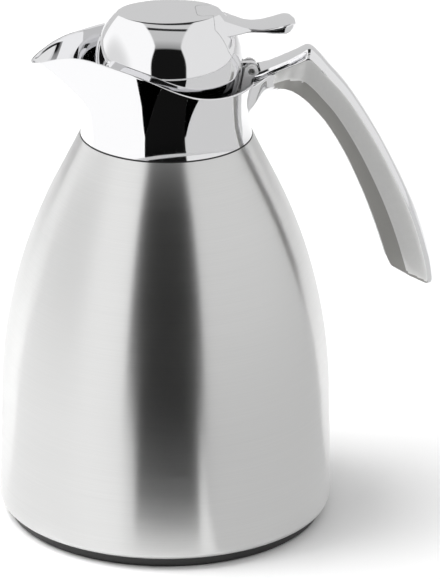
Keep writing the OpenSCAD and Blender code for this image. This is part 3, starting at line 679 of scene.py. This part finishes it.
def lever_ring(row):
    x, top, w, foot, low = row
    half = [(0, top, 0), (w * 0.5, top - TOP_HALF, 0), (w, top - TOP_EDGE, TOP_R),
            (foot, low + LOW_UP, LOW_R), (foot - UNDER_IN, low, UNDER_R), (0, low - UNDER_SAG, 0)]
    return [(x, y, BALL_Z + h) for y, h in mirrored(rounded(half, 5, closed=False))]


def knuckle():
    strap = [(STRAP_X, PIN_Z - KNUCKLE_R + STRAP_UP), (PIN_X, PIN_Z - KNUCKLE_R)]
    strap += arc(PIN_X, PIN_Z, KNUCKLE_R, -85, 90, 23) + [(STRAP_X, PIN_Z + KNUCKLE_R)]
    bore = prism("bore", circle(PIN_X, PIN_Z, PIN_R + BORE_GAP, 48), "y",
                 -BORE_HALF, BORE_HALF)
    return boolean(prism("knuckle", strap, "y", *KNUCKLE_Y), bore)


def make_lid():
    shell = ball_shell(BASE_Z - BALL_Z)
    dome = new_object("dome", shell.data.copy())
    boolean(dome, saddle(SEAM))
    ball = join("ball", [dome], 40)
    finish_piece(ball, CHROME, "lid", "ball_dome")

    rows = [along(LEVER, u) for u in np.linspace(0, len(LEVER) - 1, (len(LEVER) - 1) * 10 + 1)]
    arm = loft("arm", [lever_ring(r) for r in rows], angle=40)
    boolean(arm, boolean(ball_solid(SINK), saddle(0.0)))
    boolean(shell, saddle(0.0), "INTERSECT")
    lever = join("lever", [arm, shell, knuckle()], 40)
    finish_piece(lever, CHROME, "lid", "thumb_lever")


SHELL = make_shell()
make_foot()
make_collar()
make_strip()
make_lid()

CARRIED = {
    "base_socket": DARK, "foot_pad": RUBBER, "base_cushion": GREY_RUBBER,
    "flask_outer_wall": GLASS, "flask_inner_wall": GLASS, "flask_spacers": PAD,
    "neck_gasket": SILICONE, "neck_insert": DARK, "clamp_ring": DARK, "seam_ring": RUBBER,
    "hinge_bracket": BRACKET_PAINTED_HIGHLIGHT, "bracket_screws": SCREW, "hinge_pin": SCREW,
    "closing_spring": SPRING, "lid_base": DARK, "lid_screws": SCREW, "stopper_plate": DARK,
    "stopper_seal": SILICONE, "stopper_spring": SPRING, "stem_clip": SCREW}
for node, mat in CARRIED.items():
    carry(node, mat)


# ---------------------------------------------------------------- floor, light and camera
# The studio's cards lie on the floor and are seen only in reflections. The dark card's long edges:
LEFT_EDGE = [(-363, -560), (-175, -350), (-107, -241)]
RIGHT_EDGE = [(70, -255), (115, -359), (188, -520), (1000, -2500)]
DARK_OUTLINE = [(-37, -112), (22, -112)] + RIGHT_EDGE + [(-1900, -3000)] + LEFT_EDGE
GREY_OUTLINE = [(24, -80)] + RIGHT_EDGE + [(4000, -2500), (4000, 1500), (500, 300), (90, 20),
                                           (70, -50)]
WHITE_OUTLINE = [(-28, -80), (-37, -112), (-66, -165), (-216, -165), (-226, -230), (-240, -280),
                 (-363, -543), (-1900, -3000), (-4000, -3000), (-4000, 1500), (-500, 300),
                 (-90, 20), (-72, -48)]
LEFT_OUTLINE = [(-216, -165), (-240, -280)] + LEFT_EDGE + [(-66, -165)]
RIGHT_OUTLINE = [(40, -165)] + RIGHT_EDGE[:3] + [(188, -482), (149, -343), (127, -254),
                                                 (118, -200), (114, -165)]
WIDE_Z, SIDE_Z, DARK_Z = 0.6, 0.8, 1            # the cards' heights, so that they don't meet
GREY_GLOW, WHITE_GLOW, LEFT_GLOW, RIGHT_GLOW = 0.68, 1.13, 1.0, 0.66
FLOOR_HALF = 9000
VIEW_TURN = 5                                   # the camera stands this far towards the spout
# What lies between the softboxes, as (place, brightness): -1 is level behind the carafe, 0 the
# zenith and 1 level towards the camera. Wall, dark gap, panel, dark gap, panel, dark window.
SKY = [(-1, 0.67), (-0.75, 0.67), (-0.73, 0.03), (-0.31, 0.03), (-0.30, 0.66), (-0.175, 0.66),
       (-0.165, 0.03), (-0.10, 0.03), (-0.09, 0.6), (0.22, 0.58), (0.45, 0.32), (0.50, 0.008),
       (1, 0.008)]
LEFT_BOX, RIGHT_BOX, REAR_WALL = (0.8, 1.1), 0.86, 0.67     # the left box fades to the side
LEFT_FADE, REAR_FADE = (-0.98, -0.8), (-0.73, -0.76)
# Half the gap between the softboxes, as it widens between two places towards the front.
GAP_PLACE, GAP_HALF, GAP_BLUR = (0.35, 0.9), (0.25, 0.45), 0.02
# Lights: place and aim in metres, side in metres, watts.
LIGHTS = {"key": ((-0.85, 0.05, 1.45), (0.02, 0, 0.05), 1.1, 27),
          "fill": ((0.3, -1.4, 1.8), (0, 0, 0.05), 1.6, 10)}
# The camera that was fitted to the photograph: metres, and pixels of its 579 pixel height.
CAMERA_M, LOOK, ROLL = (-0.20081, -2.29525, 1.03734), (0.09052776, 0.92253941, -0.37527991), 0.4
FOCAL_PX, HEIGHT_PX, SENSOR = 5539, 579, 36


def stage_plane(name, outline, z, mat, card=True):
    """A flat piece of the studio. A card shows only in reflections."""
    mesh = bpy.data.meshes.new(name)
    points = [tuple(np.array((x, y, z)) * MM) for x, y in outline]
    mesh.from_pydata(points, [], [tuple(range(len(points)))])
    obj = new_object(name, mesh)
    mesh.materials.append(mat)
    if card:
        obj.visible_camera = False
        obj.visible_diffuse = False
        obj.visible_shadow = False
    return obj


def glow(name, level):
    mat, _, bsdf = material(name, (0, 0, 0), 0.0, 1.0)
    bsdf.inputs["Specular IOR Level"].default_value = 0.0
    bsdf.inputs["Emission Color"].default_value = (1, 1, 1, 1)
    bsdf.inputs["Emission Strength"].default_value = level
    return mat


def make_floor():
    mat, tree, bsdf = material("floor", (0.86, 0.86, 0.86), 0.0, 0.6)
    grain = noise(tree, 3, detail=2.0, rough=0.5)
    colour = tint(tree, grain, (0.85, 0.85, 0.85), (0.87, 0.87, 0.87))
    tree.links.new(colour, bsdf.inputs["Base Color"])
    bsdf.inputs["Specular IOR Level"].default_value = 0.1
    s = FLOOR_HALF
    stage_plane("floor", [(-s, -s), (s, -s), (s, s), (-s, s)], 0, mat, card=False)


def make_cards():
    dark, _, bsdf = material("dark_card", (0.004, 0.004, 0.004), 0.0, 1.0)
    bsdf.inputs["Specular IOR Level"].default_value = 0.0
    stage_plane("dark_card", DARK_OUTLINE, DARK_Z, dark)
    stage_plane("grey_card", GREY_OUTLINE, WIDE_Z, glow("grey_card", GREY_GLOW))
    stage_plane("white_card", WHITE_OUTLINE, WIDE_Z, glow("white_card", WHITE_GLOW))
    # Beside the dark card the steel body is lit from below, and the polished pieces see black.
    linked = bpy.data.collections.new("lit_by_side_cards")
    linked.objects.link(SHELL)
    for name, outline, level in (("left_card", LEFT_OUTLINE, LEFT_GLOW),
                                 ("right_card", RIGHT_OUTLINE, RIGHT_GLOW)):
        card = stage_plane(name, outline, SIDE_Z, glow(name, level))
        card.light_linking.receiver_collection = linked


def area(name, place_m, aim_m, size_m, watts):
    """A square light that doesn't show in reflections."""
    data = bpy.data.lights.new(name, "AREA")
    data.energy = watts
    data.size = size_m
    obj = new_object(name, data)
    obj.location = Vector(place_m)
    obj.rotation_mode = "QUATERNION"
    obj.rotation_quaternion = (Vector(aim_m) - Vector(place_m)).to_track_quat("-Z", "Y")
    obj.visible_camera = False
    obj.visible_glossy = False


def make_world():
    """A studio by direction: softboxes left and right, and SKY between them."""
    world = bpy.data.worlds.new("studio")
    bpy.context.scene.world = world
    world.use_nodes = True
    tree = world.node_tree
    back = tree.nodes["Background"]
    coord = tree.nodes.new("ShaderNodeTexCoord")

    def dot(vector):
        node = tree.nodes.new("ShaderNodeVectorMath")
        node.operation = "DOT_PRODUCT"
        tree.links.new(coord.outputs["Generated"], node.inputs[0])
        node.inputs[1].default_value = vector
        return node.outputs["Value"]

    def maths(kind, *values):
        node = tree.nodes.new("ShaderNodeMath")
        node.operation = kind
        for socket, value in zip(node.inputs, values):
            if isinstance(value, (int, float)):
                socket.default_value = value
            else:
                tree.links.new(value, socket)
        return node.outputs["Value"]

    def step(value, low, high, a, b, kind="SMOOTHSTEP"):
        """Goes from a to b as the value goes from low to high."""
        node = tree.nodes.new("ShaderNodeMapRange")
        node.interpolation_type = kind
        tree.links.new(value, node.inputs["Value"])
        for key, x in (("From Min", low), ("From Max", high), ("To Min", a), ("To Max", b)):
            node.inputs[key].default_value = x
        return node.outputs["Result"]

    def mix(t, a, b):
        return maths("ADD", a, maths("MULTIPLY", t, maths("SUBTRACT", b, a)))

    turn = math.radians(VIEW_TURN)
    side = dot((math.cos(turn), -math.sin(turn), 0))
    front = dot((-math.sin(turn), -math.cos(turn), 0))
    ramp = tree.nodes.new("ShaderNodeValToRGB")
    ramp.color_ramp.interpolation = "LINEAR"
    elements = ramp.color_ramp.elements
    while len(elements) < len(SKY):
        elements.new(0.5)
    for element, (place, level) in zip(elements, SKY):
        element.position = (place + 1) / 2
        element.color = (level, level, level, 1)
    tree.links.new(step(front, -1, 1, 0, 1, "LINEAR"), ramp.inputs["Fac"])
    half = step(front, *GAP_PLACE, *GAP_HALF)
    left = step(maths("ADD", side, half), -GAP_BLUR, GAP_BLUR, 1, 0)
    right = step(maths("SUBTRACT", side, half), -GAP_BLUR, GAP_BLUR, 0, 1)
    value = mix(left, ramp.outputs["Color"], step(side, *LEFT_FADE, *LEFT_BOX))
    value = mix(right, value, RIGHT_BOX)
    value = mix(step(front, *REAR_FADE, 0, 1), value, REAR_WALL)
    tree.links.new(value, back.inputs["Strength"])
    back.inputs["Color"].default_value = (1, 1, 1, 1)


def make_camera():
    data = bpy.data.cameras.new("camera")
    cam = new_object("camera", data)
    data.sensor_width = SENSOR
    data.lens = FOCAL_PX * SENSOR / HEIGHT_PX
    data.clip_start, data.clip_end = 0.1, 30
    place = Vector(CAMERA_M)
    ahead = Vector(LOOK).normalized()
    right = ahead.cross(Vector((0, 0, 1))).normalized()
    up = right.cross(ahead)
    roll = math.radians(ROLL)
    r = right * math.cos(roll) + up * math.sin(roll)
    u = up * math.cos(roll) - right * math.sin(roll)
    cam.matrix_world = Matrix(((r.x, u.x, -ahead.x, place.x), (r.y, u.y, -ahead.y, place.y),
                               (r.z, u.z, -ahead.z, place.z), (0, 0, 0, 1)))
    bpy.context.scene.camera = cam


make_floor()
make_cards()
make_world()
for name, spec in LIGHTS.items():
    area(name, *spec)
bpy.context.scene.view_settings.view_transform = "Standard"
make_camera()
